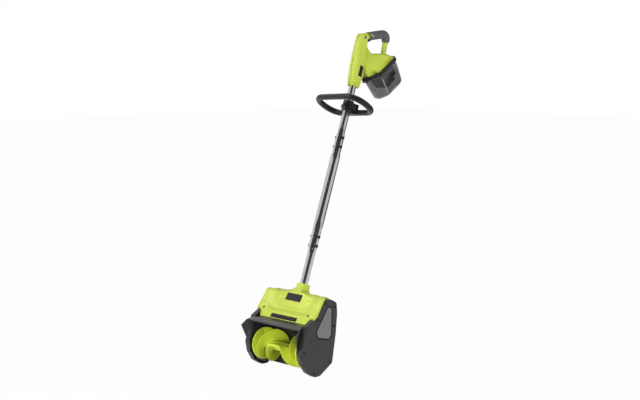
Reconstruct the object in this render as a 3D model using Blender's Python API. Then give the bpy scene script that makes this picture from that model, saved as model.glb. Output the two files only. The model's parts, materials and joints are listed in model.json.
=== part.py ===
"""Cordless snow shovel: powered auger head, three-piece shaft, loop handle and rear battery handle.

Sizes are in metres. +X runs along the auger to the right, -Y is the front and +Z is up.
The origin is the middle of the rear grip, where a hand holds the tool.
"""
import math

import bmesh
import bpy
from mathutils import Matrix, Vector

# Fits, and the sides of round pieces
FIT = 0.0003
BOLT_FIT = 0.0003
RUN_FIT = 0.0003
SHAFT_CLEARANCE = 0.001
ROUND_STEPS = 24
SMALL_STEPS = 16
BOLT_STEPS = 12

# Head
HEAD_WIDTH = 0.280
PLATE_DEPTH = 0.020
SHROUD_WALL = 0.003
PLATE_WALL = 0.004
COVER_WALL = 0.003
END_RIB = 0.020
RIB_BLEND = 0.012
EYEBROW_FRONT = 0.0065
EYEBROW_REAR = 0.046
HEAD_SEAM_Z = 0.172
HUMP_RADIUS = 0.025
HUMP_ROUND = 0.007
HUMP_INNER = 0.050
HUMP_OUTER = 0.092
COLLAR_FOOT_Z = 0.236
INSERT_DEPTH = 0.002
INSERT_GAP = 0.0015
WING_FLARE = 0.5

# Auger
AUGER_Y = -0.005
AUGER_Z = 0.077
AUGER_RADIUS = 0.055
AUGER_HUB_RADIUS = 0.016
AUGER_END_SPACE = 0.0115
RIBBON_COUNT = 2
RIBBON_THICKNESS = 0.006
RIBBON_LEAD_ANGLE = math.radians(163)
RIBBON_CURL = math.radians(14)
PADDLE_HALF = 0.032
PADDLE_BLEND = 0.004
RIBBON_PITCH = 0.089
END_DISC = 0.004
SWEEP_GAP = 0.009
AUGER_SHAFT_RADIUS = 0.006
BEARING_RADIUS = 0.014
BEARING_WIDTH = 0.007
BOSS_WALL = 0.004

# Drive
MOTOR_Y = 0.050
MOTOR_Z = 0.202
MOTOR_RADIUS = 0.021
MOTOR_LENGTH = 0.078
MOTOR_SHAFT_RADIUS = 0.003
MOTOR_PULLEY_RADIUS = 0.009
AUGER_PULLEY_RADIUS = 0.026
BELT_THICKNESS = 0.0025
BELT_WIDTH = 0.008
BELT_SPACE = 0.004
PULLEY_FLANGE = 0.0015

# Shaft
NECK_Y = 0.080
NECK_Z = 0.284
SHAFT_TILT = math.radians(19.3)
LOWER_TUBE_RADIUS = 0.0140
MIDDLE_TUBE_RADIUS = 0.0165
UPPER_TUBE_RADIUS = 0.0127
TUBE_WALL = 0.0015
NECK_DEPTH = 0.050
LOWER_JOINT = 0.122
LOWER_OVERLAP = 0.078
UPPER_JOINT = 0.530
UPPER_OVERLAP = 0.080
UPPER_TUBE_TOP = 0.765
JOINT_BOLT_RADIUS = 0.003
JOINT_BOLT_HEAD = 0.0055
JOINT_BOLT_PITCH = 0.032
JOINT_BOLT_EDGE = 0.012
COLLAR_HALF = 0.0175
LEAD_RADIUS = 0.0035

# Loop handle
LOOP_S = 0.632
LOOP_N = 0.015
LOOP_TILT = math.radians(14)
LOOP_TURN = math.radians(-8)
LOOP_HALF_WIDTH = 0.117
LOOP_HALF_DEPTH = 0.053
LOOP_CORNER = 0.048
LOOP_BAR_RADIUS = 0.0105
CLAMP_HALF = 0.018
CLAMP_WALL = 0.006
CLAMP_EAR_HALF = 0.008
CLAMP_EAR_DEPTH = 0.005
CLAMP_BOLT_RADIUS = 0.0025
CLAMP_BOLT_HEAD = 0.0045
SADDLE_HALF = 0.014

# Rear handle
SPINE_HALF = 0.0168
TOP_SLOPE = 0.45
WEB_HALF = 0.0125
WEB_CHAMFER = 0.003
GRIP_RADIUS = 0.0150
GRIP_CORE_RADIUS = 0.0120
POST_RADIUS = 0.0088
GRIP_START = Vector((0.0100, 0.889))
GRIP_END = Vector((0.0770, 0.921))
POST_TOP = Vector((0.1045, 0.900))
POST_BOTTOM = Vector((0.1080, 0.846))
TRIGGER_WIDTH = 0.012
TRIGGER_SLOT_GAP = 0.0006
BUTTON_RADIUS = 0.005
BUTTON_PROUD = 0.003

# Battery bay
BAY_Y = 0.078
BAY_S = 0.769
BAY_TILT = math.radians(37)
BAY_LENGTH = 0.099
BAY_HALF = 0.043
NOSE_LENGTH = 0.030
NOSE_HALF = 0.012
RIM_HEIGHT = 0.013
RIM_LIP = 0.005
RIM_CORNER = 0.016
RIM_CHAMFER = 0.002
RIM_INSET = 0.004
COVER_DEPTH = 0.088
COVER_SKIN = 0.0025
COVER_TAPER = 0.006
COVER_LIP = 0.001
COVER_CORNER = 0.014
COVER_ROUND = 0.010
PACK_LENGTH = 0.070
PACK_DEPTH = 0.046
PACK_HALF = 0.036
PACK_START = 0.009
STEM_HALF = 0.017
STEM_LENGTH = 0.040
STEM_HEIGHT = 0.028
HINGE_RADIUS = 0.0035
HINGE_PIN_RADIUS = 0.0015


def clear_scene():
    for obj in list(bpy.data.objects):
        bpy.data.objects.remove(obj)


def plastic(name, colour, roughness, metallic=0.0, alpha=1.0):
    material = bpy.data.materials.new(name)
    material.use_nodes = True
    shader = material.node_tree.nodes["Principled BSDF"]
    shader.inputs["Base Color"].default_value = (*colour, 1.0)
    shader.inputs["Roughness"].default_value = roughness
    shader.inputs["Metallic"].default_value = metallic
    shader.inputs["Alpha"].default_value = alpha
    return material


def frame(name, parent=None, location=(0, 0, 0), turn_x=0.0, turn_z=0.0):
    empty = bpy.data.objects.new(name, None)
    bpy.context.scene.collection.objects.link(empty)
    empty.parent = parent
    empty.location = location
    empty.rotation_euler = (turn_x, 0, turn_z)
    return empty


def solid(name, bm, material, parent, smooth=True):
    mesh = bpy.data.meshes.new(name)
    bm.to_mesh(mesh)
    bm.free()
    mesh.materials.append(material)
    if smooth:
        mesh.shade_smooth()
        mesh.set_sharp_from_angle(angle=math.radians(35))
    obj = bpy.data.objects.new(name, mesh)
    bpy.context.scene.collection.objects.link(obj)
    obj.parent = parent
    return obj


def combine(target, bm, operation):
    """Joins, cuts or keeps the overlap of target with a tool shape in the same frame."""
    tool = solid("tool", bm, target.data.materials[0], target.parent)
    modifier = target.modifiers.new("combine", "BOOLEAN")
    modifier.operation = operation
    modifier.solver = "EXACT"
    modifier.object = tool
    bpy.context.view_layer.update()
    depsgraph = bpy.context.evaluated_depsgraph_get()
    mesh = bpy.data.meshes.new_from_object(target.evaluated_get(depsgraph))
    target.modifiers.clear()
    target.data = mesh
    bpy.data.objects.remove(tool)
    mesh.set_sharp_from_angle(angle=math.radians(35))


def cut(target, bm):
    combine(target, bm, "DIFFERENCE")


def join(target, bm):
    combine(target, bm, "UNION")


def loft(rings, loop=False):
    """Skins rings of points in order; the ends are capped, or meet each other in a loop."""
    bm = bmesh.new()
    rows = [[bm.verts.new(point) for point in ring] for ring in rings]
    pairs = list(zip(rows, rows[1:]))
    if loop:
        pairs.append((rows[-1], rows[0]))
    for low, high in pairs:
        for i, vert in enumerate(low):
            j = (i + 1) % len(low)
            bm.faces.new((vert, low[j], high[j], high[i]))
    if not loop:
        bm.faces.new(rows[0][::-1])
        bm.faces.new(rows[-1])
    bmesh.ops.recalc_face_normals(bm, faces=bm.faces)
    return bm


def prism(outline, x_low, x_high):
    """Outline in (y, z), drawn out along X."""
    return loft([[(x, y, z) for y, z in outline] for x in (x_low, x_high)])


def block(x_range, y_range, z_range):
    (y0, y1), (z0, z1) = y_range, z_range
    return prism([(y0, z0), (y1, z0), (y1, z1), (y0, z1)], *x_range)


def disc(axis, along, radius, steps, centre=(0, 0)):
    """One circle square to an axis: centre gives the two other coordinates, in axis order."""
    points = []
    for i in range(steps):
        angle = 2 * math.pi * i / steps
        u = centre[0] + radius * math.cos(angle)
        v = centre[1] + radius * math.sin(angle)
        points.append({"X": (along, u, v), "Y": (u, along, v), "Z": (u, v, along)}[axis])
    return points


def turned(axis, profile, steps, centre=(0, 0), hollow=False):
    """Profile of (along, radius) pairs turned about an axis; a hollow profile closes on itself."""
    rings = [disc(axis, along, radius, steps, centre) for along, radius in profile]
    return loft(rings, loop=hollow)


def tube_profile(low, high, outer, inner):
    return [(low, outer), (high, outer), (high, inner), (low, inner)]


def rounded(corners, steps=3):
    """Outline through (u, v, radius) corners with round corners."""
    outline = []
    for i, (u, v, radius) in enumerate(corners):
        here = Vector((u, v))
        if radius == 0:
            outline.append((u, v))
            continue
        back = (Vector(corners[i - 1][:2]) - here).normalized()
        ahead = (Vector(corners[(i + 1) % len(corners)][:2]) - here).normalized()
        half = back.angle(ahead) / 2
        reach = radius / math.tan(half)
        middle = here + (back + ahead).normalized() * radius / math.sin(half)
        start = here + back * reach - middle
        end = here + ahead * reach - middle
        for k in range(steps + 1):
            point = middle + start.lerp(end, k / steps).normalized() * radius
            outline.append((point.x, point.y))
    return outline


def inset(corners, distance):
    """Corners of an outline moved in by a distance; convex round corners get tighter with it."""
    points = [Vector(c[:2]) for c in corners]
    area = sum(a.x * b.y - b.x * a.y for a, b in zip(points, points[1:] + points[:1]))
    side = 1 if area > 0 else -1
    result = []
    for i, here in enumerate(points):
        run_in = (here - points[i - 1]).normalized()
        run_out = (points[(i + 1) % len(points)] - here).normalized()
        normal_in = Vector((-run_in.y, run_in.x)) * side
        normal_out = Vector((-run_out.y, run_out.x)) * side
        bisector = (normal_in + normal_out).normalized()
        moved = here + bisector * distance / bisector.dot(normal_in)
        convex = side * (run_in.x * run_out.y - run_in.y * run_out.x) > 0
        radius = max(corners[i][2] - distance, 0) if convex else corners[i][2] + distance
        result.append((moved.x, moved.y, radius))
    return result


def box_ring(half_width, v_low, v_high, radius, place, steps=3):
    """Rounded rectangle across X, from v_low to v_high; place maps (x, v) to a point."""
    corners = [(-half_width, v_low, radius), (half_width, v_low, radius),
               (half_width, v_high, radius), (-half_width, v_high, radius)]
    return [place(x, v) for x, v in rounded(corners, steps)]


def arc(centre, radius, start, end, steps):
    """Points on an arc in (y, z), angles in degrees from the rear, upwards."""
    points = []
    for i in range(steps + 1):
        angle = math.radians(start + (end - start) * i / steps)
        points.append((centre[0] + radius * math.cos(angle), centre[1] + radius * math.sin(angle)))
    return points


clear_scene()

# Materials
LIME = plastic("lime_plastic", (0.46, 0.60, 0.03), 0.42)
DARK = plastic("dark_grey_plastic", (0.055, 0.055, 0.060), 0.50)
PALE = plastic("insert_grey_plastic", (0.13, 0.13, 0.14), 0.55)
BLACK = plastic("black_plastic", (0.018, 0.018, 0.020), 0.45)
RUBBER = plastic("grip_rubber", (0.035, 0.035, 0.038), 0.70)
SMOKE = plastic("smoky_cover", (0.10, 0.10, 0.105), 0.12, alpha=0.45)
ALUMINIUM = plastic("aluminium_tube", (0.45, 0.45, 0.46), 0.32, metallic=1.0)
STEEL = plastic("steel", (0.30, 0.30, 0.31), 0.35, metallic=1.0)

# Frames: the grip sits on the origin, the head hangs from it, and the shaft leans back
TILT_COS = math.cos(SHAFT_TILT)
TILT_SIN = math.sin(SHAFT_TILT)
grip_middle = (GRIP_START + GRIP_END) / 2
GRIP_Y = NECK_Y + grip_middle.x * TILT_COS + grip_middle.y * TILT_SIN
GRIP_Z = NECK_Z - grip_middle.x * TILT_SIN + grip_middle.y * TILT_COS
head = frame("head_frame", location=(0, -GRIP_Y, -GRIP_Z))
shaft = frame("shaft_frame", head, (0, NECK_Y, NECK_Z), -SHAFT_TILT)
loop = frame("loop_frame", shaft, (0, 0, LOOP_S), turn_z=LOOP_TURN)
bay = frame("bay_frame", shaft, (0, BAY_Y, BAY_S), -BAY_TILT)
auger_axis = frame("auger_axis", head, (0, AUGER_Y, AUGER_Z))
motor_axis = frame("motor_axis", head, (0, MOTOR_Y, MOTOR_Z))

HALF_HEAD = HEAD_WIDTH / 2
HALF_SHROUD = HALF_HEAD - PLATE_DEPTH
AUGER_LENGTH = 2 * (HALF_SHROUD - AUGER_END_SPACE)
PLATE_INNER = HALF_SHROUD + FIT
CHAMBER_RADIUS = AUGER_RADIUS + SWEEP_GAP
AUGER_CENTRE = (AUGER_Y, AUGER_Z)
MOTOR_CENTRE = (MOTOR_Y, MOTOR_Z)

# Side plates: pans with a sunken insert on the outer face
PLATE = [(0.046, 0.254, 0.008), (0.038, 0.247, 0.006), (0.009, 0.199, 0.010), (-0.036, 0.174, 0.005),
         (-0.064, 0.087, 0.020), (-0.057, 0.052, 0.020), (-0.036, 0.019, 0.020), (-0.004, 0.0, 0.012),
         (0.020, 0.0, 0.012), (0.077, 0.036, 0.012), (0.094, 0.132, 0.020), (0.1005, 0.200, 0.020),
         (0.098, 0.237, 0.012), (0.073, 0.250, 0.020)]
INSERT = [(0.057, 0.229, 0.005), (0.077, 0.222, 0.005), (0.0745, 0.129, 0.008), (0.061, 0.117, 0.006),
          (0.011, 0.128, 0.006), (0.003, 0.150, 0.008)]


def side_plate(name, side):
    outer = side * HALF_HEAD
    inner = side * PLATE_INNER
    plate = solid(name, prism(rounded(PLATE), inner, outer), DARK, head)
    floor = outer - side * PLATE_WALL
    cut(plate, prism(rounded(inset(PLATE, PLATE_WALL)), inner - side * PLATE_WALL, floor))
    cut(plate, prism(rounded(INSERT), outer - side * INSERT_DEPTH, outer + side * INSERT_DEPTH))
    panel = prism(rounded(inset(INSERT, INSERT_GAP)), outer - side * (INSERT_DEPTH - FIT), outer)
    solid(name.replace("plate", "insert"), panel, PALE, head)


side_plate("side_plate_left", -1)
side_plate("side_plate_right", 1)

# Intake shroud: a moulded channel round the auger, with a visor and two flared wings
FRONT_LOW = Vector((-0.064, 0.087))
FRONT_HIGH = Vector((-0.036, 0.174))
CHAMBER_TOP = HEAD_SEAM_Z - 0.014
CHANNEL_END = -60
VISOR_FRONT = -0.062
WING_OVERLAP = 0.003
WING_TOP = 0.164
WING_FOOT = 0.096
CHANNEL_FOOT = 0.090
MOUTH_GAP = 0.001


def front_line(z):
    """Y of the side plates' straight front edge at a height."""
    share = (z - FRONT_LOW.y) / (FRONT_HIGH.y - FRONT_LOW.y)
    return FRONT_LOW.x + share * (FRONT_HIGH.x - FRONT_LOW.x)


def flared(x, y, z):
    """Half-width at a point in front of the plates, where the mouth flares."""
    return x + WING_FLARE * (front_line(z) - y)


shell_radius = CHAMBER_RADIUS + SHROUD_WALL
channel = [(front_line(HEAD_SEAM_Z) - WING_OVERLAP, HEAD_SEAM_Z), (0.086, HEAD_SEAM_Z), (0.090, 0.160),
           (0.084, 0.125)]
channel += arc(AUGER_CENTRE, shell_radius, 20, CHANNEL_END, 8)
channel += [(0.004, 0.009), (-0.030, 0.024), (-0.054, 0.060)]
channel += [(front_line(CHANNEL_FOOT) - WING_OVERLAP, CHANNEL_FOOT)]
chamber = [(-0.100, CHAMBER_TOP), (AUGER_Y, CHAMBER_TOP)]
chamber += arc(AUGER_CENTRE, CHAMBER_RADIUS, 72, CHANNEL_END, 14)
chamber += [(0.020, -0.020), (-0.100, -0.020)]
shroud = solid("intake_shroud", prism(channel, -HALF_SHROUD, HALF_SHROUD), BLACK, head)
chamber_half = HALF_SHROUD - SHROUD_WALL
cut(shroud, prism(chamber, -chamber_half, chamber_half))

visor = [(VISOR_FRONT, 0.161), (VISOR_FRONT, 0.166)]
visor += [(front_line(z) - MOUTH_GAP, z) for z in (HEAD_SEAM_Z - FIT, CHAMBER_TOP + SHROUD_WALL / 2)]
visor_half = HALF_SHROUD - SHROUD_WALL / 2
join(shroud, loft([[(side * flared(visor_half, y, z), y, z) for y, z in visor] for side in (-1, 1)]))

wing = [(front_line(WING_TOP) - MOUTH_GAP, WING_TOP), (-0.064, WING_TOP), (-0.083, 0.146), (-0.069, 0.098),
        (front_line(WING_FOOT) - MOUTH_GAP, WING_FOOT)]
for side in (-1, 1):
    walls = (HALF_SHROUD - SHROUD_WALL, HALF_SHROUD)
    join(shroud, loft([[(side * flared(x, y, z), y, z) for y, z in wing] for x in walls]))

# Bearing bosses in the shroud's side walls, bored for the bearings and the auger shaft
BOSS_FACE = AUGER_LENGTH / 2 + 0.0015
BEARING_FACE = HALF_SHROUD - FIT - BEARING_WIDTH
boss_radius = BEARING_RADIUS + BOSS_WALL
shaft_way = AUGER_SHAFT_RADIUS + SHAFT_CLEARANCE
for side in (-1, 1):
    boss = [(side * BOSS_FACE, boss_radius), (side * (HALF_SHROUD - SHROUD_WALL / 2), boss_radius)]
    join(shroud, turned("X", boss, ROUND_STEPS, AUGER_CENTRE))
    pocket = [(side * (BEARING_FACE - FIT), BEARING_RADIUS + FIT), (side * HEAD_WIDTH, BEARING_RADIUS + FIT)]
    cut(shroud, turned("X", pocket, ROUND_STEPS, AUGER_CENTRE))
    bore = [(side * AUGER_LENGTH / 2, shaft_way), (side * HEAD_WIDTH, shaft_way)]
    cut(shroud, turned("X", bore, SMALL_STEPS, AUGER_CENTRE))
    race = tube_profile(side * BEARING_FACE, side * (BEARING_FACE + BEARING_WIDTH), BEARING_RADIUS,
                        AUGER_SHAFT_RADIUS + RUN_FIT)
    name = "auger_bearing_right" if side > 0 else "auger_bearing_left"
    solid(name, turned("X", race, SMALL_STEPS, AUGER_CENTRE, hollow=True), STEEL, head)

# Scraper bar under the channel's rear edge
edge = Vector(arc(AUGER_CENTRE, shell_radius, CHANNEL_END, CHANNEL_END, 1)[0])
scraper = [(edge.x - 0.010, 0.011), (edge.x + 0.012, edge.y - 0.001), (edge.x + 0.003, edge.y - FIT),
           (edge.x - 0.0135, 0.0135)]
solid("scraper_bar", prism(scraper, -chamber_half + FIT, chamber_half - FIT), STEEL, head)

# Upper cover: lofted along X, with raised ribs at both ends that reach over the side plates,
# a central boss, two humps and the neck collar
COVER_SEAM = HEAD_SEAM_Z + FIT
RIB = [(-0.015, COVER_SEAM, 0), (-0.0125, 0.1765, 0.003), (-0.006, 0.2010, 0.008), (0.012, 0.2220, 0.008),
       (0.034, 0.2530, 0.008), (0.046, 0.2600, 0.008), (0.073, 0.2555, 0.015), (0.097, 0.2400, 0.010),
       (0.098, COVER_SEAM, 0)]
PANEL = [(-0.014, COVER_SEAM, 0), (-0.0115, 0.1765, 0.003), (-0.004, 0.1955, 0.004), (0.011, 0.2030, 0.008),
         (0.0424, 0.2455, 0.006), (0.0485, 0.2495, 0.006), (0.073, 0.2450, 0.015), (0.093, 0.2330, 0.010),
         (0.094, COVER_SEAM, 0)]


def profile_ring(corners, x):
    return [(x, y, z) for y, z in rounded(corners)]


rib_edge = HALF_SHROUD - END_RIB
panel_edge = rib_edge - RIB_BLEND
cover = solid("upper_cover", loft([
    profile_ring(RIB, -HALF_HEAD), profile_ring(RIB, -rib_edge), profile_ring(PANEL, -panel_edge),
    profile_ring(PANEL, panel_edge), profile_ring(RIB, rib_edge), profile_ring(RIB, HALF_HEAD)]), LIME, head)
plate_seat = rounded(inset(PLATE, -FIT))
low, high = min(z for y, z in plate_seat), 2 * NECK_Z
for side in (-1, 1):
    ends = (side * HALF_SHROUD, side * HEAD_WIDTH)
    cut(cover, prism(plate_seat, *ends))
    cut(cover, block(ends, (-HEAD_WIDTH, -EYEBROW_FRONT), (low, high)))
    cut(cover, block(ends, (EYEBROW_REAR, HEAD_WIDTH), (low, high)))

BOSS = [(0.020, 0.200), (0.011, 0.216), (0.024, 0.233), (0.038, 0.259), (0.044, 0.263), (0.064, 0.262),
        (0.080, 0.235), (0.060, 0.200)]
BOSS_SPAN = 0.046
BOSS_FOOT = 0.060
BOSS_DRAW = 0.012
boss_rings = []
for x, step in ((-BOSS_FOOT, BOSS_DRAW), (-BOSS_SPAN, 0.0), (BOSS_SPAN, 0.0), (BOSS_FOOT, BOSS_DRAW)):
    boss_rings.append([(x, y, z) for y, z, radius in inset([(y, z, 0) for y, z in BOSS], step)])
join(cover, loft(boss_rings))
HUMP_CENTRE = (0.060, 0.234)
for side in (-1, 1):
    hump = [(side * HUMP_INNER, HUMP_RADIUS), (side * (HUMP_OUTER - HUMP_ROUND), HUMP_RADIUS),
            (side * HUMP_OUTER, HUMP_RADIUS - HUMP_ROUND)]
    join(cover, turned("X", hump, ROUND_STEPS, HUMP_CENTRE))

cavity = []
for i, (y, z, radius) in enumerate(inset(PANEL, COVER_WALL)):
    at_seam = i in (0, len(PANEL) - 1)
    cavity.append((y, COVER_SEAM - COVER_WALL if at_seam else z, PANEL[i][2]))
cut(cover, prism(rounded(cavity), -HALF_SHROUD + COVER_WALL, HALF_SHROUD - COVER_WALL))
shaft_way_radius = MOTOR_SHAFT_RADIUS + 2 * SHAFT_CLEARANCE
shaft_hole = [(HALF_SHROUD - 2 * COVER_WALL, shaft_way_radius), (HALF_SHROUD + COVER_WALL, shaft_way_radius)]
cut(cover, turned("X", shaft_hole, SMALL_STEPS, MOTOR_CENTRE))


def to_head(bm):
    """Takes a shape drawn in the leaning shaft frame into the head frame."""
    move = Matrix.Translation((0, NECK_Y, NECK_Z)) @ Matrix.Rotation(-SHAFT_TILT, 4, "X")
    bmesh.ops.transform(bm, matrix=move, verts=bm.verts)
    return bm


def shaft_ring(half_width, front, rear, radius, s, steps=3):
    """Rounded rectangle across the shaft at a distance s along it."""
    return box_ring(half_width, -front, rear, radius, lambda x, v: (x, v, s), steps)


collar_foot = (COLLAR_FOOT_Z - NECK_Z) / TILT_COS
collar = [shaft_ring(COLLAR_HALF + 0.012, 0.036, 0.026, 0.006, collar_foot),
          shaft_ring(COLLAR_HALF + 0.003, 0.026, COLLAR_HALF, 0.005, 0.43 * collar_foot),
          shaft_ring(COLLAR_HALF, COLLAR_HALF, COLLAR_HALF, 0.005, 0.31 * collar_foot),
          shaft_ring(COLLAR_HALF, COLLAR_HALF, COLLAR_HALF, 0.005, 0.0)]
join(cover, to_head(loft(collar)))
socket = [(-NECK_DEPTH + 0.006, LOWER_TUBE_RADIUS + FIT), (0.020, LOWER_TUBE_RADIUS + FIT)]
cut(cover, to_head(turned("Z", socket, 24)))

# Auger: hub with two ribbons, each a paddle in the middle that winds out to both ends, and end discs


def ribbon_twist(x):
    """Turn of a ribbon at x: flat across the paddle, then winding at the ribbon's pitch."""
    turn = math.log1p(math.exp((abs(x) - PADDLE_HALF) / PADDLE_BLEND)) * PADDLE_BLEND
    return 2 * math.pi * turn / RIBBON_PITCH


def auger_ring(x):
    points = []
    stations = [(AUGER_HUB_RADIUS, 0.0), ((AUGER_HUB_RADIUS + AUGER_RADIUS) / 2, 0.35), (AUGER_RADIUS, 1.0)]
    hub_steps = 4
    gap = 2 * math.pi / RIBBON_COUNT
    for k in range(RIBBON_COUNT):
        lead = RIBBON_LEAD_ANGLE + ribbon_twist(x) + gap * k
        polar = []
        for side, run in ((-1, stations), (1, stations[::-1])):
            for radius, share in run:
                half = math.asin(RIBBON_THICKNESS / 2 / radius)
                polar.append((radius, lead + side * half + RIBBON_CURL * (share - 1)))
        hub_half = math.asin(RIBBON_THICKNESS / 2 / AUGER_HUB_RADIUS)
        first = lead + hub_half - RIBBON_CURL
        span = gap - 2 * hub_half
        for i in range(1, hub_steps + 1):
            polar.append((AUGER_HUB_RADIUS, first + span * i / (hub_steps + 1)))
        points += [(x, r * math.cos(angle), r * math.sin(angle)) for r, angle in polar]
    return points


auger_end = AUGER_LENGTH / 2 - END_DISC / 2
flat_end = PADDLE_HALF * 0.6
step_angle = 12
half_steps = max(12, round(math.degrees(ribbon_twist(auger_end)) / step_angle))
stations = [0.0]
for i in range(half_steps + 1):
    stations.append(flat_end + (auger_end - flat_end) * i / half_steps)
sections = [-x for x in stations[:0:-1]] + stations
auger = solid("auger", loft([auger_ring(x) for x in sections]), LIME, auger_axis)
disc_radius = AUGER_RADIUS - FIT
for side in (-1, 1):
    plate = [(side * (AUGER_LENGTH / 2 - END_DISC), disc_radius), (side * AUGER_LENGTH / 2, disc_radius)]
    join(auger, turned("X", plate, 2 * ROUND_STEPS))
auger_bore = AUGER_SHAFT_RADIUS + FIT
cut(auger, turned("X", [(-HEAD_WIDTH, auger_bore), (HEAD_WIDTH, auger_bore)], SMALL_STEPS))

BELT_X = HALF_SHROUD + BELT_SPACE
shaft_end = BELT_X + BELT_WIDTH + PULLEY_FLANGE + SHAFT_CLEARANCE
auger_shaft = [(-HALF_SHROUD - SHAFT_CLEARANCE, AUGER_SHAFT_RADIUS), (shaft_end, AUGER_SHAFT_RADIUS)]
solid("auger_shaft", turned("X", auger_shaft, SMALL_STEPS), STEEL, auger_axis)


def pulley_profile(radius, bore):
    """Flanged pulley from its inner to its outer face; bore 0 leaves it solid."""
    low, high = BELT_X, BELT_X + BELT_WIDTH
    rim = radius + BELT_THICKNESS * 0.6
    outer = [(low - PULLEY_FLANGE, rim), (low - FIT, rim), (low - FIT, radius), (high + FIT, radius),
             (high + FIT, rim), (high + PULLEY_FLANGE, rim)]
    if bore:
        outer += [(high + PULLEY_FLANGE, bore), (low - PULLEY_FLANGE, bore)]
    return outer


auger_pulley = pulley_profile(AUGER_PULLEY_RADIUS, AUGER_SHAFT_RADIUS + FIT)
solid("auger_pulley", turned("X", auger_pulley, 32, hollow=True), BLACK, auger_axis)

# Motor on its cradle, with its shaft and pulley, and the belt down to the auger
MOTOR_END = HALF_SHROUD - COVER_WALL - 0.006
MOTOR_START = MOTOR_END - MOTOR_LENGTH
can = [(MOTOR_START, MOTOR_RADIUS - 0.003), (MOTOR_START + 0.004, MOTOR_RADIUS),
       (MOTOR_END - 0.004, MOTOR_RADIUS), (MOTOR_END, MOTOR_RADIUS - 0.003)]
motor = solid("motor", turned("X", can, 32), STEEL, motor_axis)
bore = [(MOTOR_END - 0.020, MOTOR_SHAFT_RADIUS + RUN_FIT), (MOTOR_END + 0.010, MOTOR_SHAFT_RADIUS + RUN_FIT)]
cut(motor, turned("X", bore, 16))
rotor = [(MOTOR_END - 0.019, MOTOR_SHAFT_RADIUS), (BELT_X - PULLEY_FLANGE, MOTOR_SHAFT_RADIUS)]
rotor += pulley_profile(MOTOR_PULLEY_RADIUS, 0)
solid("motor_pulley", turned("X", rotor, 24), STEEL, motor_axis)
cradle_span = (MOTOR_START + 0.008, MOTOR_END - 0.008)
cradle_half = MOTOR_RADIUS * 0.8
cradle = solid("motor_cradle", block(cradle_span, (MOTOR_Y - cradle_half, MOTOR_Y + cradle_half),
                                     (HEAD_SEAM_Z + FIT, MOTOR_Z - MOTOR_RADIUS * 0.35)), BLACK, head)
cut(cradle, turned("X", [(0, MOTOR_RADIUS + FIT), (HALF_HEAD, MOTOR_RADIUS + FIT)], 32, MOTOR_CENTRE))


def belt_ring(offset):
    """Open run round both pulleys, at an offset from their faces."""
    between = Vector(AUGER_CENTRE) - Vector(MOTOR_CENTRE)
    heading = math.degrees(math.atan2(between.y, between.x))
    lean = math.degrees(math.acos((MOTOR_PULLEY_RADIUS - AUGER_PULLEY_RADIUS) / between.length))
    top = arc(MOTOR_CENTRE, MOTOR_PULLEY_RADIUS + offset, heading + lean, heading + 360 - lean, 14)
    low = arc(AUGER_CENTRE, AUGER_PULLEY_RADIUS + offset, heading - lean, heading + lean, 18)
    return top + low


belt_rings = []
for x, offset in ((BELT_X, FIT), (BELT_X, BELT_THICKNESS), (BELT_X + BELT_WIDTH, BELT_THICKNESS),
                  (BELT_X + BELT_WIDTH, FIT)):
    belt_rings.append([(x, y, z) for y, z in belt_ring(offset)])
solid("drive_belt", loft(belt_rings, loop=True), RUBBER, head)

# Shaft tubes: the lower and upper tube run inside the middle tube, whose ends are swaged onto them
lower_bottom = -NECK_DEPTH + 0.006 + FIT
lower_top = LOWER_JOINT + LOWER_OVERLAP
upper_bottom = UPPER_JOINT - UPPER_OVERLAP
lower = tube_profile(lower_bottom, lower_top, LOWER_TUBE_RADIUS, LOWER_TUBE_RADIUS - TUBE_WALL)
upper = tube_profile(upper_bottom, UPPER_TUBE_TOP, UPPER_TUBE_RADIUS, UPPER_TUBE_RADIUS - TUBE_WALL)
lower_sleeve = LOWER_TUBE_RADIUS + FIT
upper_sleeve = UPPER_TUBE_RADIUS + FIT
SWAGE = 0.014
middle_inner = MIDDLE_TUBE_RADIUS - TUBE_WALL
middle = [(LOWER_JOINT, lower_sleeve + TUBE_WALL), (lower_top - SWAGE, lower_sleeve + TUBE_WALL),
          (lower_top, MIDDLE_TUBE_RADIUS), (upper_bottom, MIDDLE_TUBE_RADIUS),
          (upper_bottom + SWAGE, upper_sleeve + TUBE_WALL), (UPPER_JOINT, upper_sleeve + TUBE_WALL),
          (UPPER_JOINT, upper_sleeve), (upper_bottom + SWAGE, upper_sleeve), (upper_bottom, middle_inner),
          (lower_top, middle_inner), (lower_top - SWAGE, lower_sleeve), (LOWER_JOINT, lower_sleeve)]
tubes = {}
for name, profile in (("lower", lower), ("middle", middle), ("upper", upper)):
    tube = turned("Z", profile, ROUND_STEPS, hollow=True)
    tubes[name] = solid(name + "_tube", tube, ALUMINIUM, shaft)


def joint_bolt(name, s, sleeve, inner_tube):
    """Through bolt across the shaft: domed head on the right, nut on the left."""
    face = sleeve + TUBE_WALL + FIT
    hole = [(-2 * face, JOINT_BOLT_RADIUS + BOLT_FIT), (2 * face, JOINT_BOLT_RADIUS + BOLT_FIT)]
    for tube in (tubes["middle"], tubes[inner_tube]):
        cut(tube, turned("X", hole, BOLT_STEPS, (0, s)))
    nut_end = -face - JOINT_BOLT_HEAD
    head_end = face + JOINT_BOLT_HEAD * 0.8
    shape = [(nut_end, JOINT_BOLT_RADIUS), (nut_end + 0.001, JOINT_BOLT_HEAD), (-face, JOINT_BOLT_HEAD),
             (-face, JOINT_BOLT_RADIUS), (face, JOINT_BOLT_RADIUS), (face, JOINT_BOLT_HEAD),
             (head_end - 0.002, JOINT_BOLT_HEAD), (head_end, JOINT_BOLT_HEAD * 0.6)]
    solid(name, turned("X", shape, BOLT_STEPS, (0, s)), BLACK, shaft)


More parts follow.
